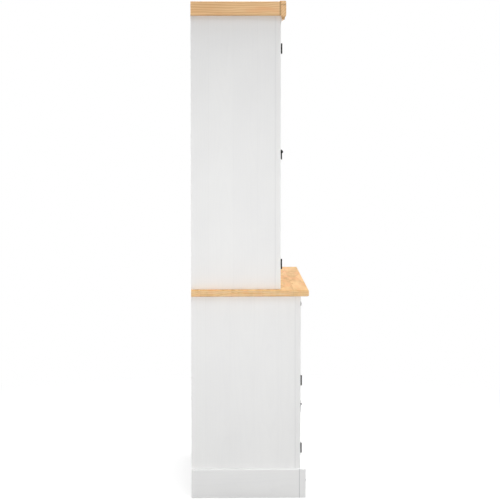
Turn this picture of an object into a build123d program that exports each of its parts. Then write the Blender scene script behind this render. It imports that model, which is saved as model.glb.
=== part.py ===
from build123d import *
from math import atan2, cos, sin
import os

# A two-part glazed cupboard: a shallow upper case with two glass doors stands on a deeper base case
# with one wide drawer over two panelled doors. Millimetres, +Z up, the front faces -Y, and the origin
# is on the floor under the middle of the worktop. Left is -X, as seen from the front.

# Overall sizes
overall_height = 1886.0
worktop_width, worktop_depth, worktop_thickness = 920.0, 446.0, 24.0
worktop_edge_radius = 5.0
worktop_side_overhang, worktop_front_overhang = 25.0, 30.0
base_height = 773.0
upper_side_step, upper_depth = 10.0, 340.0  # the upper case is this much narrower at either side

# Boards
case_board = 18.0  # sides, floors, ceiling and shelves
back_panel = 8.0
frame_thickness = 19.0  # face frame of either case
frame_stile = 45.0
edge_rounding = 2.5
joint_bevel = 0.8  # the fine V where stile meets side
stop_lip = 6.0  # how far a floor stands above the rail in front of it, to stop the doors
board_pitch = 90.0  # tongued boards of the upper back
vee_width, vee_depth = 4.0, 1.6

# Face frame heights
base_rail, drawer_opening, sill_reveal, base_bottom_rail = 25.0, 213.0, 3.0, 51.0
upper_top_rail, upper_bottom_rail = 90.0, 24.0

# Plinth
plinth_height, plinth_side, plinth_front = 110.0, 20.0, 22.0
applied_rebate = 3.0  # how far the front boards of plinth and crown lap back over the case
plinth_top_bevel = 2.0
cap_radius, cap_height, cap_level = 6.0, 3.5, 60.0

# Crown
crown_side_board, crown_front_board = 22.0, 22.0
crown_side_height, crown_side_drop = 53.0, 3.0
crown_front_height, crown_lip = 70.0, 20.0  # the lip stands above the case
crown_round = 6.0
quirk_levels, quirk_depth, quirk_width = (15.0, 52.0), 1.3, 2.2  # measured down from the top
crown_foot, crown_foot_front, crown_foot_back, crown_foot_hollow = 54.0, 6.0, 4.0, 1.2
cove_height, cove_depth, cove_hollow = 15.0, 5.0, 0.7

# Shelves
base_shelf_height, base_shelf_setback = 300.0, 24.0
upper_shelf_count, upper_shelf_setback = 3, 12.0
shelf_side_gap, shelf_back_gap = 1.0, 1.0
plate_groove_width, plate_groove_depth, plate_groove_inset = 9.0, 3.5, 42.0
pin_radius, pin_length, pin_in_wood, pin_inset = 2.5, 20.0, 9.0, 45.0
pin_clearance, pin_hole_extra, pin_shelf_gap = 0.05, 0.5, 0.1

# Doors
door_thickness = 18.5
door_gap, meeting_gap = 2.0, 3.0
door_stile, door_rail, glazed_bottom_rail = 68.0, 68.0, 80.0
door_edge_bevel, door_inner_bevel = 1.0, 4.0
groove_setback, groove_depth = 7.0, 9.0  # setback from the door's front
panel_groove, glass_groove, glass_thickness = 6.0, 4.4, 4.0
tongue_play, tenon_play, panel_play = 0.2, 0.5, 1.5
panel_margin, panel_bevel, field_step, field_setback = 5.0, 34.0, 1.2, 2.0
bar_width, bar_depth, bar_bevel = 17.0, 6.0, 2.5
bar_rows = 3
glass_gap = 0.1

# Hinges
hinge_inset = 66.0  # hinge centre from the door's end
hinge_height, hinge_leaf, leaf_thickness, leaf_corner = 32.0, 22.0, 1.6, 3.0
hinge_axis_out, knuckle_radius, middle_knuckle, knuckle_gap = 4.0, 3.4, 12.0, 0.3
hinge_pin, hinge_clearance = 1.6, 0.05
finial_radius, finial_height, finial_gap = 3.7, 4.1, 0.1

# Pulls and knob
upper_pull_rise, base_pull_rise = 481.0, 176.0  # ball centre above the door's lower edge
pull_plate_radius, pull_plate, pull_plate_bevel, pull_neck = 13.0, 2.0, 1.0, 3.0
ball_radius, ball_out = 6.2, 19.4
pivot_radius, pivot_clearance = 1.2, 0.05
drop_length, drop_thickness, drop_slot_gap, drop_arm = 31.0, 3.6, 0.5, 2.4
drop_neck, drop_bulb, drop_bulb_level, eye_radius = 2.6, 6.0, 22.5, 2.9
drop_cheek, drop_shoulder, drop_waist = 3.4, 3.0, 3.5  # levels below the eyes, each below the last
knob_radius, knob_out, knob_neck, knob_foot, knob_drop = 16.0, 25.5, 6.0, 10.0, 54.0
knob_dome, knob_rim, knob_waist, knob_flare = 8.0, 2.0, 8.0, 1.5

# Drawer
drawer_gap = 2.0
drawer_face_bevel, drawer_face_fall = 20.0, 5.0
drawer_board, drawer_side_height, drawer_back_gap = 12.0, 180.0, 29.5
drawer_side_gap, drawer_rise = 6.0, 6.0  # box inside the opening's sides and above its lower rail
drawer_bottom, drawer_bottom_rise, drawer_groove = 6.0, 9.0, 6.0
tail_count, tail_length, tail_slope, pin_width, tail_play = 5, 8.0, 1 / 6, 8.0, 0.1  # dovetails
run_gap, guide_gap = 0.3, 0.5
runner_ledge, runner_guide = 14.5, 18.0
divider_board = 15.0
cleat_width = 20.0

# Catches and dowels
catch_width, catch_height, catch_depth, strike_room = 56.0, 14.0, 14.0, 1.3
dowel_radius, dowel_length, dowel_clearance, dowel_inset = 4.0, 32.0, 0.05, 70.0
dowel_hole_extra = 0.5  # at either end

# Faces and levels that follow from the sizes above
back = worktop_depth / 2
base_front = worktop_front_overhang - back
upper_front = back - upper_depth
base_inner = base_front + frame_thickness
upper_inner = upper_front + frame_thickness
panel_face = back - back_panel
worktop_top = base_height + worktop_thickness
upper_top = overall_height - crown_lip
worktop_half = worktop_width / 2
base_half = worktop_half - worktop_side_overhang
upper_half = base_half - upper_side_step
base_wall, upper_wall = base_half - case_board, upper_half - case_board
base_opening, upper_opening = base_half - frame_stile, upper_half - frame_stile
base_sill = plinth_height + sill_reveal
drawer_top = base_height - base_rail
drawer_sill = drawer_top - drawer_opening
base_door_head = drawer_sill - base_rail
upper_sill, upper_head = worktop_top + upper_bottom_rail, upper_top - upper_top_rail
base_floor_top, upper_floor_top = base_sill + stop_lip, upper_sill + stop_lip
divider_low = base_door_head - stop_lip
base_axis, upper_axis = base_opening - door_gap / 2, upper_opening - door_gap / 2

os.makedirs("parts", exist_ok=True)


def save(node, *solids):
    """Writes one node, which holds one solid or several like ones."""
    flat = [piece for solid in solids for piece in solid.solids()]
    export_step(flat[0] if len(flat) == 1 else Compound(flat), f"parts/{node}.step")


def board(x, y, z):
    """A square-edged board that fills the (low, high) spans along X, Y and Z."""
    sizes = [high - low for low, high in (x, y, z)]
    middle = [(low + high) / 2 for low, high in (x, y, z)]
    return Pos(*middle) * Box(*sizes)


def mirrored(shape):
    """The same piece on the right-hand side."""
    return mirror(shape, about=Plane.YZ)


def along_x(outline, low, high):
    """A moulding: an outline drawn in Y and Z, run from low to high along X."""
    return extrude(Plane.YZ.offset(low) * make_face(outline), high - low)


def turned(outline, centre):
    """A turned piece: an outline of radius and distance, spun round an axis that points to the front."""
    towards_front = Plane(origin=centre, x_dir=(1, 0, 0), z_dir=(0, 0, 1))
    return revolve(towards_front * make_face(outline), Axis(centre, (0, -1, 0)))


def dome(radius, start, end):
    """The arc of a dome, from (radius, start) to its top at (0, end) on the axis it is turned about."""
    rise = end - start
    sphere = (radius**2 + rise**2) / (2 * rise)
    half = atan2(abs(rise), radius)
    return ThreePointArc(
        (radius, start), (abs(sphere) * sin(half), end - sphere * (1 - cos(half))), (0, end)
    )


def vertical_edges(shape, x, y):
    """The upright edges of a shape that lie at x and y."""
    upright = shape.edges().filter_by(Axis.Z)
    return [edge for edge in upright if (edge.center() - Vector(x, y, edge.center().Z)).length < 0.01]


def pin_holes(wall, front, rear, levels):
    """Blind holes for shelf pins in a left-hand side whose inner face is at -wall."""
    radius = pin_radius + pin_clearance
    depth = pin_in_wood + pin_hole_extra
    return [
        Pos(-wall - depth / 2, y, z) * Rot(0, 90, 0) * Cylinder(radius, depth)
        for y in (front + pin_inset, rear - pin_inset)
        for z in levels
    ]


def shelf_pins(wall, front, rear, levels):
    """The pins in both sides at those holes."""
    middle = -wall - pin_in_wood + pin_length / 2
    left = [
        Pos(middle, y, z) * Rot(0, 90, 0) * Cylinder(pin_radius, pin_length)
        for y in (front + pin_inset, rear - pin_inset)
        for z in levels
    ]
    return left + [mirrored(pin) for pin in left]


def shelf(wall, front, low, grooved):
    """A loose shelf that lies on its pins, with a plate groove near the back of an upper one."""
    half, rear = wall - shelf_side_gap, panel_face - shelf_back_gap
    plank = board((-half, half), (front, rear), (low, low + case_board))
    plank = fillet(plank.edges().filter_by(Axis.X).group_by(Axis.Y)[0], edge_rounding)
    if not grooved:
        return plank
    middle = rear - plate_groove_inset
    groove = (middle - plate_groove_width / 2, middle + plate_groove_width / 2)
    top = low + case_board
    return plank - board((-half, half), groove, (top - plate_groove_depth, top))


# Upper and base sides: solid panels behind the face frame, drilled for the shelf pins
glass_low = upper_sill + door_gap + glazed_bottom_rail
glass_high = upper_head - door_gap - door_rail
bar_pitch = (glass_high - glass_low) / (bar_rows + 1)
bar_levels = [glass_low + bar_pitch * (row + 1) for row in range(bar_rows)]
shelf_pitch = (glass_high - glass_low) / (upper_shelf_count + 1)
upper_shelf_lows = [
    glass_low + shelf_pitch * (row + 1) - case_board / 2 for row in range(upper_shelf_count)
]
upper_shelf_front = upper_inner + upper_shelf_setback
base_shelf_front = base_inner + base_shelf_setback
pin_drop = pin_radius + pin_shelf_gap  # the pin's centre under the shelf
base_pin_levels = [base_shelf_height - pin_drop]
upper_pin_levels = [low - pin_drop for low in upper_shelf_lows]
shelf_rear = panel_face - shelf_back_gap

dowel_spots = [
    (upper_half - case_board / 2, y) for y in (upper_inner + dowel_inset, back - dowel_inset)
]


def dowels(radius, length):
    """Four dowels, or their holes, half in the worktop and half in the upper sides."""
    left = [Pos(-x, y, worktop_top) * Cylinder(radius, length) for x, y in dowel_spots]
    return left + [mirrored(dowel) for dowel in left]


dowel_holes = dowels(dowel_radius + dowel_clearance, dowel_length + 2 * dowel_hole_extra)

base_side = board((-base_half, -base_wall), (base_inner, back), (0, base_height))
base_side -= pin_holes(base_wall, base_shelf_front, shelf_rear, base_pin_levels)
upper_side = board((-upper_half, -upper_wall), (upper_inner, back), (worktop_top, upper_top))
upper_side -= pin_holes(upper_wall, upper_shelf_front, shelf_rear, upper_pin_levels)
upper_side -= dowel_holes

save("base_side_left", base_side)
save("base_side_right", mirrored(base_side))
save("upper_side_left", upper_side)
save("upper_side_right", mirrored(upper_side))


# Face frames: stiles run the whole height, rails are dowelled between them
def frame_stile_at(half, front, low, high):
    """A left stile with its front outer edge rounded and a fine bevel where it meets the side."""
    inner = front + frame_thickness
    stile = board((-half, -half + frame_stile), (front, inner), (low, high))
    stile = fillet(vertical_edges(stile, -half, front), edge_rounding)
    return chamfer(vertical_edges(stile, -half, inner), joint_bevel)


def frame_rail(opening, front, low, high):
    return board((-opening, opening), (front, front + frame_thickness), (low, high))


base_stile = frame_stile_at(base_half, base_front, 0, base_height)
upper_stile = frame_stile_at(upper_half, upper_front, worktop_top, upper_top)
save("base_stiles", base_stile, mirrored(base_stile))
save("upper_stiles", upper_stile, mirrored(upper_stile))
save("base_top_rail", frame_rail(base_opening, base_front, drawer_top, base_height))
save("base_middle_rail", frame_rail(base_opening, base_front, base_door_head, drawer_sill))
save("base_bottom_rail", frame_rail(base_opening, base_front, base_sill - base_bottom_rail, base_sill))
save("upper_top_rail", frame_rail(upper_opening, upper_front, upper_head, upper_top))
save("upper_bottom_rail", frame_rail(upper_opening, upper_front, worktop_top, upper_sill))

# Floors, ceiling, divider, backs and shelves
inside_base, inside_upper = (-base_wall, base_wall), (-upper_wall, upper_wall)
base_depthwise, upper_depthwise = (base_inner, panel_face), (upper_inner, panel_face)
save("base_floor", board(inside_base, base_depthwise, (base_floor_top - case_board, base_floor_top)))
save("base_divider", board(inside_base, base_depthwise, (divider_low, divider_low + divider_board)))
save("upper_floor", board(inside_upper, upper_depthwise, (upper_floor_top - case_board, upper_floor_top)))
save("upper_ceiling", board(inside_upper, upper_depthwise, (upper_top - case_board, upper_top)))
save("base_back", board(inside_base, (panel_face, back), (base_floor_top - case_board, base_height)))

upper_back = board(inside_upper, (panel_face, back), (worktop_top, upper_top))
vee = Polyline((-vee_width / 2, 0), (0, vee_depth), (vee_width / 2, 0), close=True)
vee_cut = extrude(Plane.XY.offset(worktop_top) * make_face(vee), upper_top - worktop_top)
seams = int(upper_wall / board_pitch)
for seam in range(-seams, seams + 1):
    upper_back -= Pos(seam * board_pitch, panel_face, 0) * vee_cut
save("upper_back", upper_back)

save("base_shelf", shelf(base_wall, base_shelf_front, base_shelf_height, False))
save("upper_shelves", *[shelf(upper_wall, upper_shelf_front, low, True) for low in upper_shelf_lows])
save(
    "shelf_pins",
    *shelf_pins(base_wall, base_shelf_front, shelf_rear, base_pin_levels),
    *shelf_pins(upper_wall, upper_shelf_front, shelf_rear, upper_pin_levels),
)

# Plinth: two side boards butted behind a front board that laps the face frame
base_envelope = board((-base_half, base_half), (base_front, back), (0, base_height))
plinth_half = base_half + plinth_side
plinth_rear = base_front + applied_rebate
plinth_face = plinth_rear - plinth_front
plinth_board = board((-plinth_half, plinth_half), (plinth_face, plinth_rear), (0, plinth_height))
top_front = plinth_board.edges().filter_by(Axis.X).group_by(Axis.Z)[-1].sort_by(Axis.Y)[0]
plinth_board = chamfer(top_front, plinth_top_bevel) - base_envelope
plinth_flank = board((-plinth_half, -base_half), (plinth_rear, back), (0, plinth_height))
top_outer = plinth_flank.edges().filter_by(Axis.Y).group_by(Axis.Z)[-1].sort_by(Axis.X)[0]
plinth_flank = chamfer(top_outer, plinth_top_bevel)
save("plinth_front", plinth_board)
save("plinth_sides", plinth_flank, mirrored(plinth_flank))

cap_outline = Polyline((0, -cap_height), (0, 0), (cap_radius, 0)) + dome(cap_radius, 0, -cap_height)
cap_middle = base_half - frame_stile / 2
screw_cap = turned(cap_outline, (-cap_middle, plinth_face, cap_level))
save("plinth_screw_caps", screw_cap, mirrored(screw_cap))

# Worktop: glued boards with all showing edges rounded
worktop = board((-worktop_half, worktop_half), (-back, back), (base_height, worktop_top))
showing = [edge for edge in worktop.edges() if edge.center().Y < back - worktop_edge_radius]
worktop = fillet(showing, worktop_edge_radius) - dowel_holes
save("worktop", worktop)
save("case_dowels", *dowels(dowel_radius, dowel_length))

# Crown: a moulded front board and two plain side boards round the top of the upper case
upper_envelope = board((-upper_half, upper_half), (upper_front, back), (worktop_top, upper_top))
crown_half = upper_half + crown_side_board
crown_rear = upper_front + applied_rebate
crown_face = crown_rear - crown_front_board
crown_low = overall_height - crown_front_height
foot_top = overall_height - crown_foot
quirks = [
    point
    for level in quirk_levels
    for point in (
        (crown_face, overall_height - level + quirk_width / 2),
        (crown_face + quirk_depth, overall_height - level),
        (crown_face, overall_height - level - quirk_width / 2),
    )
]
crown_outline = (
    Polyline((crown_face, overall_height), *quirks, (crown_face, foot_top))
    + SagittaArc((crown_face, foot_top), (crown_face + crown_foot_front, crown_low), crown_foot_hollow)
    + Polyline(
        (crown_face + crown_foot_front, crown_low),
        (upper_front - crown_foot_back, crown_low),
        (upper_front, foot_top),
        (crown_rear, foot_top),
        (crown_rear, overall_height),
        (crown_face, overall_height),
    )
)
crown_front = along_x(crown_outline, -crown_half, crown_half) - upper_envelope
crown_nose = crown_front.edges().filter_by(Axis.X).group_by(Axis.Z)[-1].sort_by(Axis.Y)[0]
crown_front = fillet(crown_nose, crown_round)
crown_side_top = overall_height - crown_side_drop
crown_side = board(
    (-crown_half, -upper_half), (crown_rear, back), (crown_side_top - crown_side_height, crown_side_top)
)
crown_side = fillet(crown_side.edges().filter_by(Axis.Y).group_by(Axis.X)[0], edge_rounding / 2)
cove_low = crown_low - cove_height
cove_outline = SagittaArc(
    (upper_front, cove_low), (upper_front - cove_depth, crown_low), -cove_hollow
) + Polyline(
    (upper_front - cove_depth, crown_low),
    (upper_front - crown_foot_back, crown_low),
    (upper_front, foot_top),
    (upper_front, cove_low),
)
save("crown_front", crown_front)
save("crown_sides", crown_side, mirrored(crown_side))
save("crown_cove", along_x(cove_outline, -upper_half, upper_half))


# Doors: stiles and rails joined by stub tenons in the groove that also holds the glass or panel
def ring_bevel(x, z, front, size):
    """The bevel round an opening's front edge, as the frustum that cuts it."""
    width, height = x[1] - x[0], z[1] - z[0]
    middle = (sum(x) / 2, sum(z) / 2)
    inner = Plane((middle[0], front + size, middle[1]), x_dir=(1, 0, 0), z_dir=(0, -1, 0))
    outer = Plane((middle[0], front, middle[1]), x_dir=(1, 0, 0), z_dir=(0, -1, 0))
    return loft([inner * Rectangle(width, height), outer * Rectangle(width + 2 * size, height + 2 * size)])


def door_frame(x, z, front, bottom_rail, groove):
    """Two stiles and two rails of a door that fills the spans x and z."""
    y = (front, front + door_thickness)
    slot = (front + groove_setback, front + groove_setback + groove)
    inner_x, inner_z = (x[0] + door_stile, x[1] - door_stile), (z[0] + bottom_rail, z[1] - door_rail)
    groove_box = board(
        (inner_x[0] - groove_depth, inner_x[1] + groove_depth), slot, (z[0], z[1])
    )
    panel_slot = board(
        (inner_x[0] - groove_depth, inner_x[1] + groove_depth),
        slot,
        (inner_z[0] - groove_depth, inner_z[1] + groove_depth),
    )
    bevel = ring_bevel(inner_x, inner_z, front, door_inner_bevel)
    tenon_x = (inner_x[0] - groove_depth + tenon_play, inner_x[1] + groove_depth - tenon_play)
    members = []
    for span in ((x[0], inner_x[0]), (inner_x[1], x[1])):
        stile = board(span, y, z)
        stile = chamfer(stile.edges().filter_by(Axis.Z).group_by(Axis.Y)[0], door_edge_bevel)
        members.append(stile - groove_box - bevel)
    for span in ((z[0], inner_z[0]), (inner_z[1], z[1])):
        rail = board(inner_x, y, span) + board(tenon_x, slot, span)
        members.append(rail - panel_slot - bevel)
    return members, inner_x, inner_z, slot


def raised_panel(inner_x, inner_z, front, slot):
    """A panel whose thin edges sit in the groove and whose field stands proud within a bevel."""
    reach = groove_depth - panel_play
    tongue_front = slot[0] + tongue_play
    rear = slot[1] - tongue_play
    middle = (sum(inner_x) / 2, sum(inner_z) / 2)
    width, height = inner_x[1] - inner_x[0], inner_z[1] - inner_z[0]
    tongue = board(
        (inner_x[0] - reach, inner_x[1] + reach),
        (tongue_front, rear),
        (inner_z[0] - reach, inner_z[1] + reach),
    )
    levels = []
    field_inset = panel_margin + panel_bevel
    for y, inset in ((tongue_front, panel_margin), (front + field_setback + field_step, field_inset)):
        plane = Plane((middle[0], y, middle[1]), x_dir=(1, 0, 0), z_dir=(0, -1, 0))
        levels.append(plane * Rectangle(width - 2 * inset, height - 2 * inset))
    field = board(
        (inner_x[0] + field_inset, inner_x[1] - field_inset),
        (front + field_setback, rear),
        (inner_z[0] + field_inset, inner_z[1] - field_inset),
    )
    return tongue + loft(levels) + field


def glazing_bars(inner_x, inner_z, slot):
    """One upright bar and rows of half bars that butt it, laid on the front of the glass."""
    rear = slot[0] - glass_gap
    middle = sum(inner_x) / 2
    y = (rear - bar_depth, rear)
    upright = board((middle - bar_width / 2, middle + bar_width / 2), y, inner_z)
    bars = [chamfer(upright.edges().filter_by(Axis.Z).group_by(Axis.Y)[0], bar_bevel)]
    for level in bar_levels:
        for span in (
            (inner_x[0], middle - bar_width / 2),
            (middle + bar_width / 2, inner_x[1]),
        ):
            cross = board(span, y, (level - bar_width / 2, level + bar_width / 2))
            bars.append(chamfer(cross.edges().filter_by(Axis.X).group_by(Axis.Y)[0], bar_bevel))
    return bars


def hinge(axis_x, front, level):
    """A left-hand butt hinge screwed to the faces: frame leaf, door leaf and the pin with its finials."""
    axis_y = front - hinge_axis_out
    half, joint = hinge_height / 2, middle_knuckle / 2
    clear = knuckle_radius + knuckle_gap
    middle = Pos(-axis_x, axis_y, level)
    bore = middle * Cylinder(hinge_pin + hinge_clearance, hinge_height)
    inner_edge = door_gap / 2

    def plate(side):
        x = sorted((-axis_x + side * inner_edge, -axis_x + side * hinge_leaf))
        flat = board(x, (front - leaf_thickness, front), (level - half, level + half))
        outer = flat.edges().filter_by(Axis.Y).group_by(Axis.X)[-1 if side > 0 else 0]
        return fillet(outer, leaf_corner)

    def knuckle(low, high):
        return Pos(-axis_x, axis_y, level + (low + high) / 2) * Cylinder(knuckle_radius, high - low)

    def room(low, high):
        return board(
            (-axis_x - clear, -axis_x + clear), (axis_y - clear, front), (level + low, level + high)
        )

    frame_leaf = plate(-1) - room(-joint - knuckle_gap, joint + knuckle_gap)
    frame_leaf += knuckle(-half, -joint - knuckle_gap) + knuckle(joint + knuckle_gap, half)
    door_leaf = plate(1) - room(-half, -joint) - room(joint, half) + knuckle(-joint, joint)
    top = half + finial_gap
    finial = Polyline((0, top + finial_height), (0, top), (finial_radius, top)) + dome(
        finial_radius, top, top + finial_height
    )
    ball = revolve(Plane.XZ * make_face(finial), Axis.Z)
    shaft = Cylinder(hinge_pin, 2 * top + finial_height)
    pin = middle * (shaft + ball + mirror(ball, about=Plane.XY))
    return frame_leaf - bore, door_leaf - bore, pin


def pull(x, front, level):
    """A round plate, a neck and a ball with a pivot through it, all one iron piece."""
    reach = (ball_radius**2 - pull_neck**2) ** 0.5
    outline = Polyline(
        (0, 0),
        (pull_plate_radius, 0),
        (pull_plate_radius - pull_plate_bevel, -pull_plate),
        (pull_neck, -pull_plate),
        (pull_neck, -ball_out + reach),
    ) + ThreePointArc(
        (pull_neck, -ball_out + reach), (ball_radius, -ball_out), (0, -ball_out - ball_radius)
    ) + Line((0, -ball_out - ball_radius), (0, 0))
    pivot_half = ball_radius + drop_slot_gap + drop_arm
    pivot = Rot(0, 90, 0) * Cylinder(pivot_radius, 2 * pivot_half)
    return turned(outline, (x, front, level)) + Pos(x, front - ball_out, level) * pivot


def drop(x, front, level):
    """The loose drop: a flat forged pear whose two eyes ride on the pull's pivot."""
    slot = ball_radius + drop_slot_gap
    outer = slot + drop_arm
    shoulder = slot + drop_shoulder
    neck_level = shoulder + drop_waist
    side = (
        Line((outer, eye_radius), (outer, -drop_cheek))
        + ThreePointArc(
            (outer, -drop_cheek), ((outer + drop_neck) / 2, -shoulder), (drop_neck, -neck_level)
        )
        + ThreePointArc((drop_neck, -neck_level), (drop_bulb, -drop_bulb_level), (0, -drop_length))
    )
    half = make_face(side + Polyline((0, -drop_length), (0, eye_radius), (outer, eye_radius)))
    flat = half + mirror(half, about=Plane.YZ)
    body = extrude(Plane.XZ * flat, drop_thickness / 2, both=True)
    body -= board((-slot, slot), (-drop_thickness, drop_thickness), (0, 2 * eye_radius))
    body -= Rot(90, 0, 0) * Cylinder(slot, 2 * drop_thickness)
    for sign in (-1, 1):
        body += Pos(sign * (slot + drop_arm / 2), 0, 0) * Rot(0, 90, 0) * Cylinder(eye_radius, drop_arm)
    body -= Rot(0, 90, 0) * Cylinder(pivot_radius + pivot_clearance, 3 * outer)
    return Pos(x, front - ball_out, level) * body


frame_leaves, hinge_pins = [], []
for case, opening, axis, front, sill, head, pull_rise in (
    ("upper", upper_opening, upper_axis, upper_front, upper_sill, upper_head, upper_pull_rise),
    ("base", base_opening, base_axis, base_front, base_sill, base_door_head, base_pull_rise),
):
    glazed = case == "upper"
    x = (-opening + door_gap, -meeting_gap / 2)
    z = (sill + door_gap, head - door_gap)
    members, inner_x, inner_z, slot = door_frame(
        x, z, front, glazed_bottom_rail if glazed else door_rail, glass_groove if glazed else panel_groove
    )
    hinges = [hinge(axis, front, level) for level in (z[0] + hinge_inset, z[1] - hinge_inset)]
    pull_x = x[1] - door_stile / 2
    left = {
        "frame": members,
        "hinge_leaves": [door_leaf for _, door_leaf, _ in hinges],
        "pull": [pull(pull_x, front, z[0] + pull_rise)],
        "drop": [drop(pull_x, front, z[0] + pull_rise)],
    }
    if glazed:
        reach = groove_depth - panel_play
        left["glass"] = [
            board(
                (inner_x[0] - reach, inner_x[1] + reach),
                (slot[0] + tongue_play, slot[0] + tongue_play + glass_thickness),
                (inner_z[0] - reach, inner_z[1] + reach),
            )
        ]
        left["glazing_bars"] = glazing_bars(inner_x, inner_z, slot)
    else:
        left["panel"] = [raised_panel(inner_x, inner_z, front, slot)]
    for piece, solids in left.items():
        save(f"{case}_left_door_{piece}", *solids)
        save(f"{case}_right_door_{piece}", *[mirrored(solid) for solid in solids])
    for frame_leaf, _, pin in hinges:
        frame_leaves += [frame_leaf, mirrored(frame_leaf)]
        hinge_pins += [pin, mirrored(pin)]
save("hinge_frame_leaves", *frame_leaves)
save("hinge_pins", *hinge_pins)

# Magnetic catches behind the meeting stiles: one hangs from the top rail, one from the divider
catch_x = (-catch_width / 2, catch_width / 2)
catch_z = (upper_head - catch_height / 2, upper_head + catch_height / 2)
upper_catch = board(catch_x, (upper_inner, upper_inner + catch_depth), catch_z)
upper_catch -= board(catch_x, (upper_inner, upper_inner + strike_room), (catch_z[0], upper_head))
base_catch = board(
    catch_x, (base_inner + strike_room, base_inner + catch_depth), (divider_low - catch_height, divider_low)
)
save("door_catches", upper_catch, base_catch)


# Drawer: a fielded front, a bottom held in grooves, and corners dovetailed: blind tails into the back of
# the front, and through tails that show at the rear
def tails(low, high, shoulder, tip, play=0.0):
    """The tails on the end of a left side, between two levels, that widen from shoulder to tip."""
    pitch = (high - low) / tail_count
    tip_half = (pitch - pin_width) / 2 + play
    shoulder_half = tip_half - abs(tip - shoulder) * tail_slope
    reach = tip + play if tip > shoulder else tip - play
    shapes = []
    for row in range(tail_count):
        middle = low + pitch * (row + 0.5)
        outline = Polyline(
            (shoulder, middle - shoulder_half),
            (reach, middle - tip_half),
            (reach, middle + tip_half),
            (shoulder, middle + shoulder_half),
            close=True,
        )
        shapes.append(along_x(outline, -box_x - play, -inner_box + play))
    return shapes


drawer_x = base_opening - drawer_gap
drawer_z = (drawer_sill + drawer_gap, drawer_top - drawer_gap)
front_rear = base_front + door_thickness
front_middle = (drawer_z[0] + drawer_z[1]) / 2
face_planes = []
for y, inset in ((base_front + drawer_face_fall, 0), (base_front, drawer_face_bevel)):
    plane = Plane((0, y, front_middle), x_dir=(1, 0, 0), z_dir=(0, -1, 0))
    face_planes.append(
        plane * Rectangle(2 * (drawer_x - inset), drawer_z[1] - drawer_z[0] - 2 * inset)
    )
drawer_front = loft(face_planes) + board(
    (-drawer_x, drawer_x), (base_front + drawer_face_fall, front_rear), drawer_z
)
box_x = base_opening - drawer_side_gap
inner_box = box_x - drawer_board
box_z = (drawer_sill + drawer_rise, drawer_sill + drawer_rise + drawer_side_height)
box_rear = panel_face - drawer_back_gap
back_face = box_rear - drawer_board
bottom_z = (box_z[0] + drawer_bottom_rise, box_z[0] + drawer_bottom_rise + drawer_bottom)
groove_z = (bottom_z[0] - tongue_play, bottom_z[1] + tongue_play)
back_z = (groove_z[1], box_z[1])
bottom_half = inner_box + drawer_groove - tenon_play
bottom_groove = board(
    (-inner_box - drawer_groove, inner_box + drawer_groove), (front_rear - drawer_groove, box_rear), groove_z
)
front_tip = front_rear - tail_length
drawer_side = board((-box_x, -inner_box), (front_rear, box_rear), box_z)
drawer_side -= board((-box_x, -inner_box), (back_face, box_rear), back_z)
drawer_side += tails(*box_z, front_rear, front_tip) + tails(*back_z, back_face, box_rear)
drawer_side -= bottom_groove
front_sockets = tails(*box_z, front_rear, front_tip, tail_play)
rear_sockets = tails(*back_z, back_face, box_rear, tail_play)
drawer_front -= [bottom_groove, *front_sockets, *map(mirrored, front_sockets)]
drawer_back = board((-box_x, box_x), (back_face, box_rear), back_z)
drawer_back -= [*rear_sockets, *map(mirrored, rear_sockets)]
bottom_y = (front_rear - drawer_groove + tenon_play, box_rear)
drawer_floor = board((-bottom_half, bottom_half), bottom_y, bottom_z)
save("drawer_front", drawer_front)
save("drawer_sides", drawer_side, mirrored(drawer_side))
save("drawer_back", drawer_back)
save("drawer_bottom", drawer_floor)

knob_level = drawer_z[1] - knob_drop
rim = knob_out - knob_dome
flare_start = (knob_neck + knob_flare, -rim + 2 * knob_rim)
knob_outline = (
    Line((0, 0), (knob_foot, 0))
    + Polyline(
        (knob_foot, 0),
        (knob_neck, -knob_waist),
        flare_start,
        (knob_radius - knob_rim / 2, -rim + knob_rim),
        (knob_radius, -rim),
    )
    + dome(knob_radius, -rim, -knob_out)
    + Line((0, -knob_out), (0, 0))
)
save("drawer_knob", turned(knob_outline, (0, base_front, knob_level)))

# Runners: an L that carries and guides each drawer side, with a block glued on its rear end that stops
# the drawer when it is shut. Cleats over the sides hold the worktop.
ledge_top = box_z[0] - run_gap
guide_x = box_x + guide_gap
runner_outline = Polyline(
    (-base_wall, divider_low + divider_board),
    (-guide_x + runner_ledge, divider_low + divider_board),
    (-guide_x + runner_ledge, ledge_top),
    (-guide_x, ledge_top),
    (-guide_x, ledge_top + runner_guide),
    (-base_wall, ledge_top + runner_guide),
    close=True,
)
runner_plane = Plane((0, base_inner, 0), x_dir=(1, 0, 0), z_dir=(0, -1, 0))
runner = extrude(runner_plane * make_face(runner_outline), -(panel_face - base_inner))
stop = board(
    (-guide_x, -inner_box), (box_rear + run_gap, panel_face), (ledge_top, ledge_top + runner_guide)
)
save("drawer_runners", runner, stop, mirrored(runner), mirrored(stop))
cleat = board((-base_wall, -base_wall + cleat_width), base_depthwise, (drawer_top, base_height))
save("worktop_cleats", cleat, mirrored(cleat))
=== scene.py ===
import bpy
import bmesh
import math
from mathutils import Matrix, Vector


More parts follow.
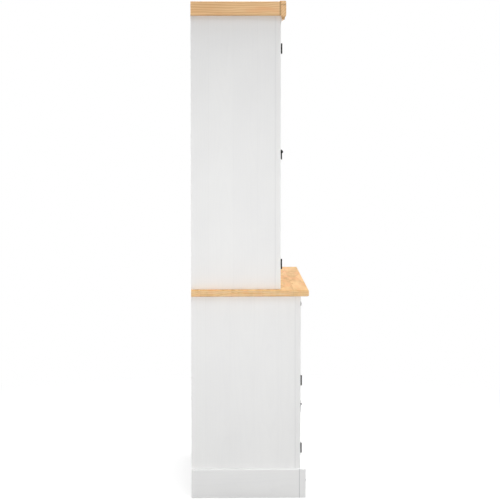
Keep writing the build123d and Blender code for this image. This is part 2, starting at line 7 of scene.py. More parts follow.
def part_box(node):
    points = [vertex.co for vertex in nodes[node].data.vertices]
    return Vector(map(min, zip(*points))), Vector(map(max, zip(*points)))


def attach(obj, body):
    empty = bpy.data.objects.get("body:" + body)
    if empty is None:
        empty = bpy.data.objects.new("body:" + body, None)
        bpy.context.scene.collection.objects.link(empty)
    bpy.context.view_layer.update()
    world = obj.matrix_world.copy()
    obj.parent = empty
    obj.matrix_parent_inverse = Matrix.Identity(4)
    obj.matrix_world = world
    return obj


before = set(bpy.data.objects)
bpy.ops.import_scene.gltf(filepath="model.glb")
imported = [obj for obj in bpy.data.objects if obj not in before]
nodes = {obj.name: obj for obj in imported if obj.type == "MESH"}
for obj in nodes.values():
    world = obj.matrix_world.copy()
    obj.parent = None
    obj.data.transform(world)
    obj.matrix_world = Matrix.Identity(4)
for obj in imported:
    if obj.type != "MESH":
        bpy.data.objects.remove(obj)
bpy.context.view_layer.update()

# Side panels of the two cases. Each is glued up from upright pine boards, planed to 18 mm, primed and
# sprayed satin white, so the growth rings and the glue lines still show faintly through the paint.


class Wire:
    """A value on its way through a finish. Sums of wires add the Math nodes that work them out."""

    def __init__(self, tree, socket):
        self.tree, self.socket = tree, socket

    def node(self, kind, settings, feeds, output=0):
        """Adds one node, sets it up, feeds its sockets with values or wires and gives one output."""
        made = self.tree.nodes.new("ShaderNode" + kind)
        for setting, value in settings.items():
            setattr(made, setting, value)
        for socket, feed in feeds.items():
            if isinstance(feed, Wire):
                self.tree.links.new(feed.socket, made.inputs[socket])
            else:
                made.inputs[socket].default_value = feed
        return Wire(self.tree, made.outputs[output] if made.outputs else None)

    def parts(self, kind):
        """The three numbers that a vector or a colour is made of."""
        first = self.node(kind, {}, {0: self})
        return [Wire(self.tree, output) for output in first.socket.node.outputs]

    def maths(self, operation, *others):
        return self.node("Math", {"operation": operation}, dict(enumerate((self, *others))))

    def __add__(self, other):
        return self.maths("ADD", other)

    __radd__ = __add__

    def __mul__(self, other):
        return self.maths("MULTIPLY", other)

    __rmul__ = __mul__

    def __sub__(self, other):
        return self.maths("SUBTRACT", other)

    def __rsub__(self, other):
        return self.node("Math", {"operation": "SUBTRACT"}, {0: other, 1: self})

    def __truediv__(self, other):
        return self.maths("DIVIDE", other)

    def __pow__(self, other):
        return self.maths("POWER", other)

    def rise(self, low, high):
        """0 below low, 1 above high, smooth between."""
        feeds = {"Value": self, "From Min": low, "From Max": high}
        return self.node("MapRange", {"interpolation_type": "SMOOTHSTEP"}, feeds)

    def mix(self, low, high):
        """A colour between two others, by this value."""
        return self.node("Mix", {"data_type": "RGBA"}, {0: self, 6: low, 7: high}, 2)

    def noise(self, along, across, through, detail=2.0, seed=0.0):
        """Cloudy noise, 0 to 1, at a point whose three numbers are already stretched to its grain."""
        point = self.node("CombineXYZ", {}, {0: along, 1: across, 2: through})
        feeds = {"Vector": point, "W": seed, "Scale": 1.0, "Detail": detail}
        return self.node("TexNoise", {"noise_dimensions": "4D"}, feeds)

    def bump(self, strength, depth):
        """The normal of a surface that stands proud by this height times depth."""
        feeds = {"Height": self, "Strength": strength, "Distance": depth}
        return self.node("Bump", {}, feeds, "Normal")


def colour(red, green, blue):
    """A colour given as 0 to 255 on screen, in the linear numbers of a shader."""
    linear = [((part / 255 + 0.055) / 1.055) ** 2.4 for part in (red, green, blue)]
    return (*linear, 1.0)


def begin(name):
    """A new finish, and wires for the x, y and z of a point on the piece that wears it."""
    material = bpy.data.materials.new(name)
    material.use_nodes = True
    material.node_tree.nodes.clear()
    start = Wire(material.node_tree, None).node("TexCoord", {}, {}, "Object")
    return material, start.parts("SeparateXYZ")


def cover(material, **sockets):
    """Ends a finish with its surface shader, whose sockets are named with _ for a space."""
    feeds = {name.replace("_", " "): feed for name, feed in sockets.items()}
    surface = Wire(material.node_tree, None).node("BsdfPrincipled", {}, feeds)
    surface.node("OutputMaterial", {}, {"Surface": surface})
    return material


def wear(material, *names):
    """Gives CAD pieces their finish."""
    for name in names:
        for place in nodes[name].material_slots:
            place.material = material


RING = 0.0075  # one year of a fast-grown pine
LOG_DEPTH = 0.1  # how far the rings go on into a board before they are mirrored
FIBRES_ALONG, FIBRES_ACROSS = 16.0, 520.0  # in a metre
GLUE_CORE, GLUE_EDGE = 0.0002, 0.0011  # how far from its middle a glue line starts to fade and is gone


def pine(along, across, through, board, seed, heart=0.012):
    """Glued pine boards that run along one wire, side by side across another, each sawn at least as far
    from its tree's heart as heart says. Gives the late wood of the rings, the fine fibre, a number for
    each board and the glue lines."""
    place = across / board + seed
    row = place.maths("FLOOR")
    draw = row.node("TexWhiteNoise", {"noise_dimensions": "1D"}, {"W": row + seed * 7.3}, "Color")
    sideways, deep, tone = draw.parts("SeparateColor")
    wander = along.noise(along * 1.7, row * 5.3, seed, 1.5) - 0.5
    waver = along.noise(along * 5.0, across * 15.0, through * 15.0, 2.0, seed) - 0.5
    side = (place - row - 0.5 - (sideways - 0.5) * 1.1) * board
    depth = through.maths("PINGPONG", LOG_DEPTH) + deep * 0.03 + heart + wander * 0.05
    radius = (side * side + depth * depth) ** 0.5
    ring = (radius / RING + waver * 2.6).maths("FRACT")
    late = ring ** 2.2 * (1 - ring.rise(0.9, 1.0))
    fibre = along.noise(
        along * FIBRES_ALONG, across * FIBRES_ACROSS, through * FIBRES_ACROSS, 3.0, seed
    )
    glue = 1 - (place.maths("PINGPONG", 0.5) * board).rise(GLUE_CORE, GLUE_EDGE)
    return late, fibre, tone, glue


PAINT, PAINT_SHADE = colour(243, 243, 242), colour(236, 236, 236)
# The grey primer colour also serves as painted shade along the joints of sides and stiles.
PAINTED_GLUE, PRIMER_AND_SHADE = colour(214, 214, 213), colour(188, 189, 191)
SATIN, SATIN_SPREAD = 0.36, 0.08  # roughness of the paint, and how much the fibres vary it
JOINT_SHADE = 0.12  # how strongly the painted shade along a joint darkens the paint


def painted(name, layout, board=0.092, seed=0.0, seam_and_shade=None):
    """Satin white paint over pine. layout puts x, y and z in order along, across and through the boards,
    and the last argument says where a joint, bare primer or painted shade along a joint darkens it."""
    material, point = begin(name)
    late, fibre, tone, glue = pine(*layout(*point), board, seed)
    spray = point[0].noise(point[0] * 700.0, point[1] * 700.0, point[2] * 700.0, 1.0)
    drift = point[0].noise(point[0] * 9.0, point[1] * 9.0, point[2] * 5.0, 2.0, seed)
    veil = late * 0.22 + fibre * 0.25 + tone * 0.25 + (drift - 0.5) * 0.9 + 0.15
    white = veil.mix(PAINT, PAINT_SHADE)
    white = (glue * 0.15).mix(white, PAINTED_GLUE)
    if seam_and_shade:
        white = seam_and_shade(*point).mix(white, PRIMER_AND_SHADE)
    height = late * 0.4 + fibre * 0.25 + spray * 0.25 - glue * 0.4
    return cover(
        material,
        Base_Color=white,
        Roughness=fibre * SATIN_SPREAD + SATIN,
        Normal=height.bump(0.35, 0.00022),
    )


def near(place, width):
    """A wire's closeness to a place: 1 there and 0 from width away."""
    return lambda wire: 1 - (wire - place).maths("ABSOLUTE").rise(width * 0.15, width)


# The side's front edge, where the stile is glued on, is darkened as painted shade.
for case in ("upper", "base"):
    closeness = near(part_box(f"{case}_side_left")[0].y, width=0.007)
    finish = painted(
        f"{case}_side_paint",
        lambda x, y, z: (z, y, x),
        seed=2.31 if case == "upper" else 6.17,
        seam_and_shade=lambda x, y, z: closeness(y) * JOINT_SHADE,
    )
    wear(finish, f"{case}_side_left", f"{case}_side_right")

# Face frames: upright stiles run the whole height of each case and the rails are dowelled between them,
# so the grain stands in the stiles and lies in the rails.
# The stiles are darkened near their joint with the side panel as painted shade.
for case in ("upper", "base"):
    closeness = near(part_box(f"{case}_stiles")[1].y, width=0.0025)
    finish = painted(
        f"{case}_stile_paint",
        lambda x, y, z: (z, x, y),
        board=0.3,
        seed=0.42,
        seam_and_shade=lambda x, y, z: closeness(y) * JOINT_SHADE,
    )
    wear(finish, f"{case}_stiles")
rail_paint = painted("rail_paint", lambda x, y, z: (x, z, y), board=0.24, seed=0.27)
wear(rail_paint, "upper_top_rail", "upper_bottom_rail")
wear(rail_paint, "base_top_rail", "base_middle_rail", "base_bottom_rail")

# Floors, divider and the loose shelves: glued boards that run across the cupboard. The ceiling board is
# the same, but its upper side, which the crown hides, has only the thin grey primer.
SKIN, SKIN_FULL = 0.0008, 0.0002  # from a face to where its own finish starts and is full


def skin(wire, face, full=SKIN_FULL):
    """1 in the outermost skin of the wood below a face, and 0 deeper in."""
    return wire.rise(face - SKIN, face - full)


shelf_paint = painted("shelf_paint", lambda x, y, z: (x, y, z), board=0.088, seed=3.6)
wear(shelf_paint, "upper_floor", "upper_shelves", "base_floor", "base_divider", "base_shelf")
ceiling_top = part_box("upper_ceiling")[1].z
wear(
    painted(
        "ceiling_paint",
        lambda x, y, z: (x, y, z),
        board=0.088,
        seed=5.2,
        seam_and_shade=lambda x, y, z: skin(z, ceiling_top, full=0.0003)
        * (0.5 + 0.25 * x.noise(x * 3.0, y * 60.0, z * 3.0, 3.0)),
    ),
    "upper_ceiling",
)

# Backs: upright pine boards, with a V at each seam inside, close the upper case and one plain panel the
# base. Both are 8 mm thick, lie between the sides flush with their rear edges and are painted like them.
back_paint = painted("back_paint", lambda x, y, z: (z, x, y), board=0.09, seed=0.5)
wear(back_paint, "upper_back", "base_back")

# Plinth: a front board screwed to the case, with its two screws under grey push-in caps, and two side
# boards butted behind it. The butt joint shows as a dark line at either side.
PLINTH_BOARD, OPEN_JOINT = 0.16, 0.8
plinth_joint = near(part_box("plinth_sides")[0].y, width=0.004)
wear(
    painted(
        "plinth_side_paint",
        lambda x, y, z: (y, z, x),
        board=PLINTH_BOARD,
        seed=0.31,
        seam_and_shade=lambda x, y, z: plinth_joint(y) * OPEN_JOINT,
    ),
    "plinth_sides",
)
wear(painted("plinth_front_paint", lambda x, y, z: (x, z, y), PLINTH_BOARD, seed=0.2), "plinth_front")

# Screw caps and catches: moulded plastic. Grey domes cover the two screws in the plinth's front, and the
# white bodies of the two magnetic catches hang from the top rail and from the divider.


def plastic(name, shade, roughness):
    """Moulded plastic: even colour with the fine spark texture of the mould."""
    material, (x, y, z) = begin(name)
    grain = x.noise(x * 1600.0, y * 1600.0, z * 1600.0, 2.0)
    flow = x.noise(x * 90.0, y * 90.0, z * 90.0, 1.0)
    dull = colour(*[part * 0.93 for part in shade])
    return cover(
        material,
        Base_Color=(grain * 0.5 + flow * 0.5).mix(colour(*shade), dull),
        Roughness=grain * 0.12 + roughness,
        Normal=grain.bump(0.25, 0.00008),
    )


wear(plastic("grey_cap_plastic", (150, 153, 156), 0.38), "plinth_screw_caps")
wear(plastic("white_catch_plastic", (232, 232, 229), 0.42), "door_catches")

# Worktop and crown: knot-free pine, planed, stained to a honey colour and waxed. The worktop is glued
# from long boards; the crown is a moulded front board with a plain board at either side.
BLUSH, WAXED_GLUE = colour(242, 176, 122), colour(176, 126, 80)
# The pale colour of thin-rubbed wax also serves as a painted highlight at the worktop's upper arris, and
# the dark colour of a thirsty joint also as painted shade at the crown's foot and quirk.
RUBBED_AND_HIGHLIGHT, SOAKED_AND_SHADE = colour(250, 226, 190), colour(128, 92, 58)


def waxed(name, early, late_wood, layout, board, seed, heart=0.012, seam_and_shade=None, bleach_and_highlight=None):
    """Honey-coloured wax over pine: pale early wood, orange late wood, fine darker fibres and the warmer
    blush where the stain took unevenly. The last argument says where it was rubbed thin and where a
    painted highlight lightens it, and the one before where a joint or a thirsty end drank more of it and
    where painted shade darkens it."""
    material, point = begin(name)
    along, across, through = layout(*point)
    late, fibre, tone, glue = pine(along, across, through, board, seed, heart)
    cloud = along.noise(along * 4.0, across * 60.0, through * 60.0, 2.0, seed)
    blush = along.noise(along * 9.0, across * 34.0, through * 34.0, 1.0, seed + 3.0).rise(0.46, 0.68)
    pale = tone.mix(colour(*early), colour(*[part * 0.97 for part in early]))
    deep = tone.mix(colour(*late_wood), colour(*[part * 0.95 for part in late_wood]))
    wood = (late * 0.7 + (cloud - 0.5) * 1.3 + (fibre - 0.5) * 0.5 + 0.08).mix(pale, deep)
    wood = (blush * 0.45).mix(wood, BLUSH)
    wood = (glue * 0.25).mix(wood, WAXED_GLUE)
    if bleach_and_highlight:
        wood = bleach_and_highlight(*point).mix(wood, RUBBED_AND_HIGHLIGHT)
    if seam_and_shade:
        wood = seam_and_shade(*point).mix(wood, SOAKED_AND_SHADE)
    return cover(
        material,
        Base_Color=wood,
        Roughness=fibre * 0.14 + 0.56,
        Specular_IOR_Level=0.04,
        Normal=(late * 0.6 + fibre * 0.5 - glue).bump(0.4, 0.00018),
    )


TOP_WAX = (247, 204, 145), (210, 157, 98)
CROWN_WAX = (254, 213, 162), (216, 160, 106)
ARRIS_START, ARRIS_FULL = 0.0065, 0.0015  # below the worktop's upper face
top_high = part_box("worktop")[1]


def rubbed_ends_and_highlight(x, y, z):
    """The sawn ends, rubbed thinner in streaks that run along the edge, and lighter still at the upper
    arris as a painted highlight.
    """
    ends = skin(x.maths("ABSOLUTE"), top_high.x)
    streak = x.noise(x * 3.0, y * 7.0, z * 210.0, 2.0, 2.0).rise(0.34, 0.66)
    # Painted highlight along the upper arris of each end.
    arris = z.rise(top_high.z - ARRIS_START, top_high.z - ARRIS_FULL)
    return ends * (streak * 0.42 + arris * 0.3 + 0.08)


wear(
    waxed(
        "worktop_wax",
        *TOP_WAX,
        lambda x, y, z: (x, y, z),
        board=0.118,
        seed=4.4,
        heart=0.4,
        bleach_and_highlight=rubbed_ends_and_highlight,
    ),
    "worktop",
)
crown_joint = near(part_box("crown_sides")[0].y, width=0.0045)
# Along the lower edge of the crown sides the wood is darkened as painted shade.
crown_foot_shade = near(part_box("crown_sides")[0].z, width=0.006)
wear(
    waxed(
        "crown_side_wax",
        *CROWN_WAX,
        lambda x, y, z: (y, z, x),
        board=0.21,
        seed=0.55,
        seam_and_shade=lambda x, y, z: (crown_joint(y) * 0.6).maths("MAXIMUM", crown_foot_shade(z) * 0.3),
    ),
    "crown_sides",
)

# The crown's front board: its ends are sawn across the grain and drink more stain at the joint with the
# side boards. On these flat ends, the foot of the moulding and the quirk below its top edge are darkened
# as painted shade. A cove, painted white, runs below it.
front_low, front_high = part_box("crown_front")
QUIRK_DROP, FOOT_RISE = 0.0145, 0.012
quirk = near(front_high.z - QUIRK_DROP, width=0.004)


def end_stain_and_shade(x, y, z):
    """The darker end grain at the joint with the side boards, and painted shade at the foot and in the
    quirk.
    """
    ends = skin(x.maths("ABSOLUTE"), front_high.x)
    # The foot of the moulding is darkened as painted shade.
    foot = 1 - z.rise(front_low.z + FOOT_RISE * 0.6, front_low.z + FOOT_RISE * 1.4)
    edge = (crown_joint(y) * 0.4).maths("MAXIMUM", quirk(z) * 0.35)
    return ends * edge.maths("MAXIMUM", foot * 0.42)


wear(
    waxed(
        "crown_front_wax",
        *CROWN_WAX,
        lambda x, y, z: (x, z, y),
        board=0.24,
        seed=0.15,
        heart=0.03,
        seam_and_shade=end_stain_and_shade,
    ),
    "crown_front",
)
wear(painted("cove_paint", lambda x, y, z: (x, z, y), board=0.3, seed=0.4), "crown_cove")

# Doors: painted pine frames whose stiles stand and whose rails lie between them on stub tenons. Glass
# behind a grid of glazing bars fills the upper pair, raised panels fill the lower pair.
DOOR_STILE = 0.068
SHOULDER_CORE, SHOULDER_EDGE = 0.0002, 0.0008  # half the width of the line where a rail meets its stile
for case in ("upper", "base"):
    low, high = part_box(f"{case}_right_door_frame")
    middle, reach = (low.x + high.x) / 2, (high.x - low.x) / 2 - DOOR_STILE
    material, (x, y, z) = begin(f"{case}_door_paint")
    off = (x.maths("ABSOLUTE") - middle).maths("ABSOLUTE")
    upright = off.maths("GREATER_THAN", reach)
    along = x + (z - x) * upright
    across = z + (x - z) * upright
    late, fibre, tone, _ = pine(along, across, y, board=0.31, seed=0.37)
    shoulder = 1 - (off - reach).maths("ABSOLUTE").rise(SHOULDER_CORE, SHOULDER_EDGE)
    white = (late * 0.25 + fibre * 0.3 + tone * 0.3 + 0.1).mix(PAINT, PAINT_SHADE)
    white = (shoulder * 0.35).mix(white, colour(200, 200, 200))
    height = late * 0.35 + fibre * 0.25 - shoulder
    cover(
        material,
        Base_Color=white,
        Roughness=fibre * SATIN_SPREAD + SATIN,
        Normal=height.bump(0.35, 0.0002),
    )
    wear(material, f"{case}_left_door_frame", f"{case}_right_door_frame")
panel_paint = painted("panel_paint", lambda x, y, z: (z, x, y), board=0.084, seed=0.6)
wear(panel_paint, "base_left_door_panel", "base_right_door_panel")
bar_paint = painted("bar_paint", lambda x, y, z: (z, x, y), board=0.4, seed=0.3)
wear(bar_paint, "upper_left_door_glazing_bars", "upper_right_door_glazing_bars")

# Glass: one clear 4 mm pane in each upper door, held in the groove of its frame. It mirrors at its outer
# faces, more at a slant, and a slight ripple bends what it mirrors.
glass, (x, y, z) = begin("float_glass")
ripple = x.noise(x * 9.0, y * 9.0, z * 5.0, 1.0)
outside = 1 - x.node("NewGeometry", {}, {}, "Backfacing")
cover(
    glass,
    Base_Color=colour(226, 234, 230),
    Metallic=1.0,
    Roughness=ripple * 0.03 + 0.01,
    Alpha=x.node("Fresnel", {}, {"IOR": 1.5}) * outside + 0.02,
    Normal=ripple.bump(0.12, 0.0004),
)
wear(glass, "upper_left_door_glass", "upper_right_door_glass")

# Drawer: a fielded painted front and a box of bare planed pine, dovetailed at its corners, that slides
# on two bare runners. Cleats and dowels that no one sees are bare as well.
wear(painted("drawer_front_paint", lambda x, y, z: (x, z, y), board=0.35, seed=0.45), "drawer_front")


def bare(name, layout, board, seed):
    """Planed pine with no finish: paler and drier than the waxed boards."""
    material, point = begin(name)
    late, fibre, tone, glue = pine(*layout(*point), board, seed)
    pale = tone.mix(colour(240, 217, 176), colour(231, 204, 160))
    wood = (late * 0.7 + (fibre - 0.5) * 0.5).mix(pale, colour(208, 168, 116))
    return cover(
        material,
        Base_Color=(glue * 0.4).mix(wood, colour(180, 140, 96)),
        Roughness=fibre * 0.15 + 0.6,
        Normal=(late * 0.5 + fibre * 0.8 - glue).bump(0.5, 0.0002),
    )


wear(bare("drawer_side_pine", lambda x, y, z: (y, z, x), 0.22, 0.2), "drawer_sides", "drawer_runners")
wear(bare("drawer_back_pine", lambda x, y, z: (x, z, y), 0.22, 0.6), "drawer_back")
wear(bare("drawer_bottom_pine", lambda x, y, z: (x, y, z), 0.11, 1.3), "drawer_bottom", "worktop_cleats")
wear(bare("dowel_pine", lambda x, y, z: (z, x, y), 0.3, 0.8), "case_dowels")

# Ironwork: hinges, pulls, their drops and the knob are cast or pressed iron under black lacquer. The
# hinge leaves lie on the faces of doors and frame, and each drop hangs loose from its pull.
iron, (x, y, z) = begin("black_iron_lacquer")
dents = x.noise(x * 260.0, y * 260.0, z * 260.0, 2.0)
grit = x.noise(x * 1500.0, y * 1500.0, z * 1500.0, 2.0)
cover(
    iron,
    Base_Color=(dents * 0.6 + grit * 0.4).mix(colour(6, 6, 7), colour(18, 18, 17)),
    Roughness=grit * 0.2 + 0.5,
    Specular_IOR_Level=0.1,
    Normal=(dents + grit * 0.3).bump(0.5, 0.0003),
)
wear(iron, "hinge_frame_leaves", "hinge_pins", "drawer_knob")
for case in ("upper", "base"):
    for side in ("left", "right"):
        wear(iron, *[f"{case}_{side}_door_{piece}" for piece in ("hinge_leaves", "pull", "drop")])

# Hinge screws: two through each leaf, slotted, with low domed heads that stand just proud of the leaf.
# They are lacquered with the hinge. Those in the door leaves swing with their door.
SHARP_EDGE = math.radians(35)


def smooth_piece(name, shape, finish, body):
    """Makes the shape a piece of its own, smooth but for its real edges, on the body that carries it."""
    bmesh.ops.recalc_face_normals(shape, faces=shape.faces)
    mesh = bpy.data.meshes.new(name)
    shape.to_mesh(mesh)
    shape.free()
    mesh.polygons.foreach_set("use_smooth", [True] * len(mesh.polygons))
    mesh.set_sharp_from_angle(angle=SHARP_EDGE)
    mesh.materials.append(finish)
    item = bpy.data.objects.new(name, mesh)
    bpy.context.scene.collection.objects.link(item)
    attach(item, body)


def screw_head(shape, centre, outward, radius, rise, turn):
    """A domed head with a slot, which stands on the face at centre and is sunk a little into it."""
    slot, slot_floor, sink, steps = radius * 0.15, rise * 0.2, 0.0002, 12
    aside = Matrix.Rotation(turn, 3, outward) @ outward.orthogonal().normalized()
    ahead = outward.cross(aside)
    edge = math.asin(slot / radius)
    dome = [(share, rise * (1 - 0.45 * share**2)) for share in (0.3, 0.6, 0.85, 0.96)]
    dome.append((1.0, rise * 0.3))
    floors, feet = [], []
    for half in (1, -1):

        def spot(u, v, w):
            return shape.verts.new(centre + aside * u + ahead * (v * half) + outward * w)

        def ring(share, height):
            turns = [edge + (math.pi - 2 * edge) * step / steps for step in range(steps + 1)]
            return [
                spot(share * radius * math.cos(t), slot + share * (radius * math.sin(t) - slot), height)
                for t in turns
            ]

        top = spot(0, slot, rise)
        rings = [ring(*level) for level in dome]
        foot = ring(1.0, -sink)
        lip = [row[0] for row in reversed(rings)] + [top] + [row[-1] for row in rings]
        floor = [
            shape.verts.new(v.co + outward * (slot_floor - (v.co - centre).dot(outward))) for v in lip
        ]
        for step in range(steps):
            shape.faces.new((top, rings[0][step], rings[0][step + 1]))
            for inner, outer in zip(rings, rings[1:]):
                shape.faces.new((inner[step], outer[step], outer[step + 1], inner[step + 1]))
            rim = [rings[-1][step], rings[-1][step + 1], foot[step + 1], foot[step]]
            if step == 0:
                rim.append(floor[0])
            if step == steps - 1:
                rim.insert(2, floor[-1])
            shape.faces.new(rim)
        for first, second, below, beside in zip(lip, lip[1:], floor, floor[1:]):
            shape.faces.new((first, second, beside, below))
        floors.append(floor)
        feet.append(foot)
    for step in range(len(floors[0]) - 1):
        shape.faces.new((floors[0][step], floors[0][step + 1], floors[1][step + 1], floors[1][step]))
    for end in (0, -1):
        shape.faces.new((floors[0][end], floors[1][end], feet[1][end], feet[0][end]))
    shape.faces.new(feet[0] + feet[1][::-1])


OUT, INWARD = Vector((0, -1, 0)), Vector((0, 1, 0))
LEAF_WIDTH, LEAF_HALF_HEIGHT, LEAF_THICK = 0.022, 0.016, 0.0016
SCREW_INSET, SCREW_OFF_MIDDLE = 0.0085, 0.0095
SCREW_RADIUS, SCREW_RISE = 0.0028, 0.0009
FIRST_TURN, NEXT_TURN = 0.4, 2.4  # radians: every slot stops at an angle of its own
frame_screws = bmesh.new()
turn = FIRST_TURN
for case in ("upper", "base"):
    for side, sign in (("left", -1), ("right", 1)):
        low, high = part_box(f"{case}_{side}_door_hinge_leaves")
        face_y = high.y - LEAF_THICK
        inner_end = high.x if sign < 0 else low.x
        door_x = inner_end + sign * SCREW_INSET
        frame_x = inner_end + sign * (2 * LEAF_WIDTH - SCREW_INSET)
        door_screws = bmesh.new()
        for middle in (low.z + LEAF_HALF_HEIGHT, high.z - LEAF_HALF_HEIGHT):
            for level in (middle - SCREW_OFF_MIDDLE, middle + SCREW_OFF_MIDDLE):
                for shape, x in ((door_screws, door_x), (frame_screws, frame_x)):
                    place = Vector((x, face_y, level))
                    screw_head(shape, place, OUT, SCREW_RADIUS, SCREW_RISE, turn)
                    turn += NEXT_TURN
        door = f"{case}_{side}_door"
        smooth_piece(f"{door}_hinge_screws", door_screws, iron, door)
smooth_piece("frame_hinge_screws", frame_screws, iron, "cabinet")

# Shelf pins: turned steel with bright zinc plating, pushed into blind holes in the sides of both cases,
# four under each loose shelf.
steel, (x, y, z) = begin("zinc_steel")
brushed = x.noise(x * 60.0, y * 1800.0, z * 1800.0, 2.0)
cover(
    steel,
    Base_Color=brushed.mix(colour(184, 186, 189), colour(142, 145, 150)),
    Metallic=1.0,
    Roughness=brushed * 0.15 + 0.34,
    Normal=brushed.bump(0.2, 0.00005),
)
wear(steel, "shelf_pins")

# Bolts: each pull, and the knob, is drawn tight from behind by a slotted bolt on a washer, both of zinc
# plated steel. They bear on the inner face of the door's stile or of the drawer's front.
WASHER_RADIUS, WASHER_THICK = 0.007, 0.001
BOLT_RADIUS, BOLT_RISE = 0.0046, 0.0024


def washer(shape, centre, outward, radius, thickness):
    """A flat round washer with its upper edge eased."""
    steps, ease = 28, thickness * 0.35
    aside = outward.orthogonal().normalized()
    ahead = outward.cross(aside)
    turns = [2 * math.pi * step / steps for step in range(steps)]
    rings = []
    for reach, height in ((radius, 0.0), (radius, thickness - ease), (radius - ease, thickness)):
        rings.append([
            shape.verts.new(
                centre + (aside * math.cos(t) + ahead * math.sin(t)) * reach + outward * height
            )
            for t in turns
        ])
    for lower, upper in zip(rings, rings[1:]):
        for step in range(steps):
            after = (step + 1) % steps
            shape.faces.new((lower[step], lower[after], upper[after], upper[step]))
    shape.faces.new(rings[0][::-1])
    shape.faces.new(rings[-1])


def bolt(name, centre, body, turn):
    """The washer and the bolt's head behind one pull or knob."""
    shape = bmesh.new()
    washer(shape, centre, INWARD, WASHER_RADIUS, WASHER_THICK)
    screw_head(shape, centre + INWARD * WASHER_THICK, INWARD, BOLT_RADIUS, BOLT_RISE, turn)
    smooth_piece(name, shape, steel, body)


for case in ("upper", "base"):
    for side in ("left", "right"):
        plate_low, plate_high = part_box(f"{case}_{side}_door_pull")
        centre = (plate_low + plate_high) / 2
        centre.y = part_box(f"{case}_{side}_door_frame")[1].y
        bolt(f"{case}_{side}_door_pull_bolt", centre, f"{case}_{side}_door", turn=centre.x * 40)
knob_low, knob_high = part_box("drawer_knob")
centre = (knob_low + knob_high) / 2
centre.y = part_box("drawer_front")[1].y
bolt("drawer_knob_bolt", centre, "drawer", turn=1.1)

# Strike plates: a small steel plate, held by one screw, on the back of each door's meeting stile. The
# catch's magnet pulls it through two steel pole plates, whose edges stand just proud of the catch.


def tablet(shape, low, high, corner):
    """A thin plate that faces the door or the catch, with round corners and an eased edge all round."""
    steps, ease = 5, min(corner, high.y - low.y) * 0.3
    rings = []
    for y, inset in ((low.y, ease), (low.y + ease, 0.0), (high.y - ease, 0.0), (high.y, ease)):
        ring = []
        for quarter in range(4):
            toward_x, toward_z = ((1, 1), (-1, 1), (-1, -1), (1, -1))[quarter]
            hub_x = (high.x if toward_x > 0 else low.x) - toward_x * corner
            hub_z = (high.z if toward_z > 0 else low.z) - toward_z * corner
            for step in range(steps + 1):
                t = math.pi / 2 * (quarter + step / steps)
                reach = corner - inset
                spot = (hub_x + reach * math.cos(t), y, hub_z + reach * math.sin(t))
                ring.append(shape.verts.new(spot))
        rings.append(ring)
    for lower, upper in zip(rings, rings[1:]):
        for place, (first, second) in enumerate(zip(lower, upper)):
            after = (place + 1) % len(lower)
            shape.faces.new((first, lower[after], upper[after], second))
    shape.faces.new(rings[0])
    shape.faces.new(rings[-1][::-1])


STRIKE_WIDTH, STRIKE_HEIGHT, STRIKE_THICK, STRIKE_GAP = 0.020, 0.012, 0.0008, 0.006
STRIKE_CORNER, STRIKE_MARGIN = 0.0025, 0.002
STRIKE_SCREW_RADIUS, STRIKE_SCREW_RISE = 0.0026, 0.0005
POLE_LENGTH, POLE_THICK, POLE_PROUD = 0.017, 0.0010, 0.0003
POLE_CORNER, POLE_OFF_MIDDLE = 0.0003, 0.0018
UPPER_CATCH_SETBACK, UPPER_CATCH_DROP, BASE_CATCH_RISE = 0.0013, 0.0105, 0.007
catch_low, catch_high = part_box("door_catches")
upper_catch_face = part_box("upper_top_rail")[1].y + UPPER_CATCH_SETBACK
for case, catch_face, catch_middle in (
    ("upper", upper_catch_face, catch_high.z - UPPER_CATCH_DROP),
    ("base", catch_low.y, catch_low.z + BASE_CATCH_RISE),
):
    poles = bmesh.new()
    for side, sign in (("left", -1), ("right", 1)):
        door = f"{case}_{side}_door"
        door_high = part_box(f"{door}_frame")[1]
        middle_x = sign * (STRIKE_GAP + STRIKE_WIDTH / 2)
        level = min(catch_middle, door_high.z - STRIKE_MARGIN - STRIKE_HEIGHT / 2)
        half = Vector((STRIKE_WIDTH / 2, 0, STRIKE_HEIGHT / 2))
        strike = bmesh.new()
        middle = Vector((middle_x, door_high.y, level))
        face = middle + INWARD * STRIKE_THICK
        tablet(strike, middle - half, middle + half + INWARD * STRIKE_THICK, STRIKE_CORNER)
        screw_head(
            strike, face, INWARD, STRIKE_SCREW_RADIUS, STRIKE_SCREW_RISE, turn=middle_x * 90
        )
        smooth_piece(f"{door}_strike", strike, steel, door)
        for off in (-POLE_OFF_MIDDLE, POLE_OFF_MIDDLE):
            pole = Vector((middle_x, catch_face, catch_middle + off))
            half = Vector((POLE_LENGTH / 2, 0, POLE_THICK / 2))
            tablet(poles, pole - half + OUT * POLE_PROUD, pole + half, POLE_CORNER)
    smooth_piece(f"{case}_catch_poles", poles, steel, "cabinet")

# Studio: a pale floor that fades into a surround, white to the camera and in reflections and dim as a
# light. Soft lamps stand low and high at the cupboard's left, and one each before it, behind it, at its
# right and above it.
FLOOR_HALF, FLOOR_DROP = 30.0, 0.0005
FADE_START, FADE_END = 0.9, 2.6  # how far from the cupboard's middle the floor turns into the surround
FLOOR_MATT, FLOOR_FAINT = (0.55, 0.55, 0.55, 1.0), (0.4, 0.4, 0.4, 1.0)
WHITE, FLOOR_GLOW = (1.0, 1.0, 1.0, 1.0), 0.7
mesh = bpy.data.meshes.new("studio_floor")
corners = [(x * FLOOR_HALF, y * FLOOR_HALF, 0) for x, y in ((-1, -1), (1, -1), (1, 1), (-1, 1))]
mesh.from_pydata(corners, [], [(0, 1, 2, 3)])
floor = bpy.data.objects.new("studio_floor", mesh)
bpy.context.scene.collection.objects.link(floor)
floor.location.z = -FLOOR_DROP
paper, (x, y, _) = begin("studio_paper")
rays = x.node("LightPath", {}, {}).socket.node.outputs
seen = Wire(x.tree, rays["Is Camera Ray"])
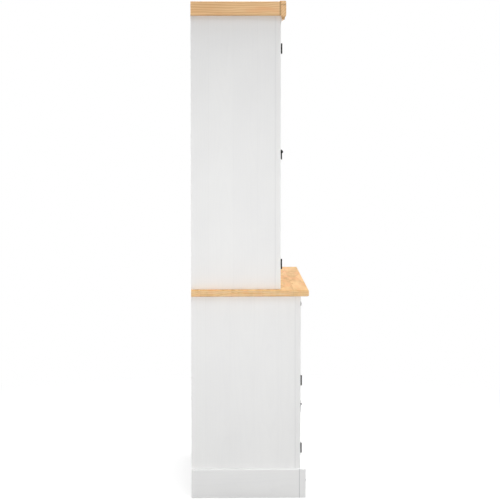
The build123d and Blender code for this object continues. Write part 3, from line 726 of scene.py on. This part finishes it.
matt = x.node("BsdfDiffuse", {}, {"Color": FLOOR_MATT})
faint = x.node("BsdfDiffuse", {}, {"Color": FLOOR_FAINT})
glow = x.node("Emission", {}, {"Color": WHITE, "Strength": FLOOR_GLOW})
blank = x.node("Emission", {}, {"Color": WHITE, "Strength": 1.0})
shaded = x.node("AddShader", {}, {0: faint, 1: glow})
far = ((x * x + y * y) ** 0.5).rise(FADE_START, FADE_END)
lit = x.node("MixShader", {}, {0: far, 1: shaded, 2: blank})
sheet = x.node("MixShader", {}, {0: seen, 1: matt, 2: lit})
sheet.node("OutputMaterial", {}, {"Surface": sheet})
mesh.materials.append(paper)

world = bpy.data.worlds.new("studio")
world.use_nodes = True
world.node_tree.nodes.clear()
start = Wire(world.node_tree, None)
rays = start.node("LightPath", {}, {}).socket.node.outputs
direct = Wire(world.node_tree, rays["Is Camera Ray"])
mirrored = Wire(world.node_tree, rays["Is Glossy Ray"])
through = Wire(world.node_tree, rays["Is Transmission Ray"])
shown = direct.maths("MAXIMUM", mirrored).maths("MAXIMUM", through)
AMBIENT = 0.18
strength = shown * (1 - AMBIENT) + AMBIENT
sky = start.node("Background", {}, {"Color": WHITE, "Strength": strength})
sky.node("OutputWorld", {}, {"Surface": sky})
bpy.context.scene.world = world
LAMP_AIM = Vector((0, 0, 0.9))


def lamp(name, place, size, power):
    """A soft rectangular lamp, aimed at the cupboard's middle, that the camera doesn't see."""
    light = bpy.data.lights.new(name, "AREA")
    light.shape = "RECTANGLE"
    light.size, light.size_y = size
    light.energy = power
    item = bpy.data.objects.new(name, light)
    bpy.context.scene.collection.objects.link(item)
    item.location = place
    direction = LAMP_AIM - Vector(place)
    item.rotation_euler = direction.to_track_quat("-Z", "Y").to_euler()
    item.visible_camera = False


lamp("left_lamp", (-2.5, 0.1, 0.9), (1.4, 1.3), 19.2)
lamp("left_sky", (-4.5, -0.5, 5.0), (3.0, 3.0), 68)
lamp("front_lamp", (0.3, -3.2, 1.5), (1.8, 1.8), 45)
lamp("right_lamp", (3.2, 0.2, 1.2), (1.8, 1.8), 39)
lamp("back_lamp", (0.2, 3.4, 1.6), (1.8, 1.8), 43)
lamp("top_lamp", (-0.2, -0.2, 4.6), (2.4, 2.4), 98)

# Camera: a long lens at eye height, 8 metres off at the cupboard's left, turned a little towards its
# front and tilted a little down.
CAMERA_PLACE = (-8.0, 0.2009, 1.6202)
TILT_DOWN, TURN_FORWARD = 4.649, 1.524  # degrees
camera = bpy.data.cameras.new("camera")
camera.lens, camera.sensor_width = 144.43, 36.0
camera.shift_y = -0.03
camera.clip_end = 100.0
view = bpy.data.objects.new("camera", camera)
bpy.context.scene.collection.objects.link(view)
view.location = CAMERA_PLACE
view.rotation_euler = (math.radians(90 - TILT_DOWN), 0, math.radians(-90 - TURN_FORWARD))
bpy.context.scene.camera = view
bpy.context.scene.view_settings.view_transform = "Standard"
